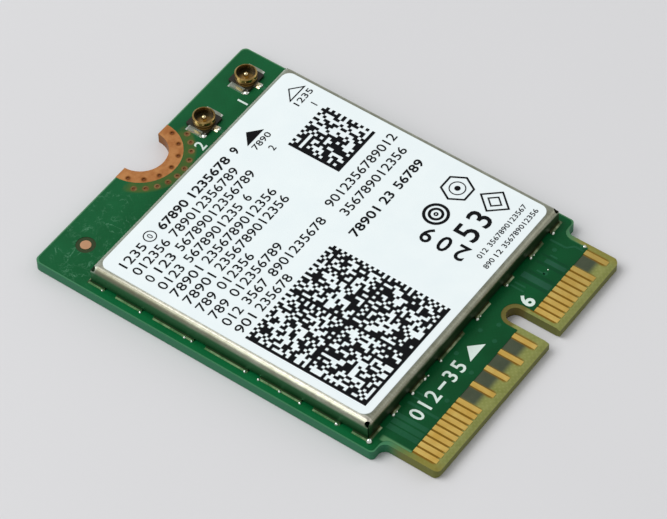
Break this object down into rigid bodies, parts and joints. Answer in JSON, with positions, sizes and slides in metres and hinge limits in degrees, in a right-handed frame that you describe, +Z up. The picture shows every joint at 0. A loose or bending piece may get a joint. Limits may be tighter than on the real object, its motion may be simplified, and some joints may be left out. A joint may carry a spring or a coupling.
{
  "type": "laptop wifi card",
  "caption": "Small green board with a shielded radio under a white printed label, gold edge contacts with a key slot, a half-round screw notch and push-on antenna sockets.",
  "frame": {"origin": "middle of the board's outline, on the underside", "axes": "+Z up out of the labelled side, +Y towards the mounting notch, +X towards the side of contact 1 and the antenna sockets"},
  "size_m": [0.022, 0.03, 0.0023],
  "materials": {
    "laminate": "satin",
    "solder_mask": "gloss",
    "contact_gold": "polished",
    "ring_copper": "satin",
    "via_plating": "satin",
    "board_print": "matte",
    "shield_sheet": "satin",
    "solder": "satin",
    "label_paper": "matte",
    "label_ink": "matte",
    "socket_gold": "polished",
    "socket_plastic": "gloss",
    "chip_mould": "matte",
    "filter_ceramic": "satin",
    "crystal_ceramic": "matte",
    "crystal_metal": "satin",
    "ferrite": "matte",
    "capacitor_ceramic": "satin",
    "resistor_ceramic": "gloss",
    "tinned_ends": "satin"
  },
  "bodies": {
    "root": {"circuit_board": "laminate", "solder_mask_top": "solder_mask", "solder_mask_bottom": "solder_mask", "contact_fingers_top": "contact_gold", "contact_fingers_bottom": "contact_gold", "board_ground_ring": "ring_copper", "stitching_vias": "via_plating", "fiducial_dot": "ring_copper", "test_pads": "contact_gold", "silkscreen_marks": "board_print", "shield_can": "shield_sheet", "shield_solder": "solder", "label": "label_paper", "label_print": "label_ink", "main_socket_shell": "socket_gold", "main_socket_insulator": "socket_plastic", "main_socket_pin": "socket_gold", "aux_socket_shell": "socket_gold", "aux_socket_insulator": "socket_plastic", "aux_socket_pin": "socket_gold", "socket_solder": "solder", "component_lands": "solder", "radio_chip": "chip_mould", "radio_chip_balls": "solder", "amplifier_main": "chip_mould", "amplifier_aux": "chip_mould", "diplexers": "filter_ceramic", "crystal_base": "crystal_ceramic", "crystal_lid": "crystal_metal", "inductor_bodies": "ferrite", "inductor_ends": "tinned_ends", "capacitor_bodies": "capacitor_ceramic", "capacitor_ends": "tinned_ends", "resistor_bodies": "resistor_ceramic", "resistor_ends": "tinned_ends"}
  },
  "joints": []
}
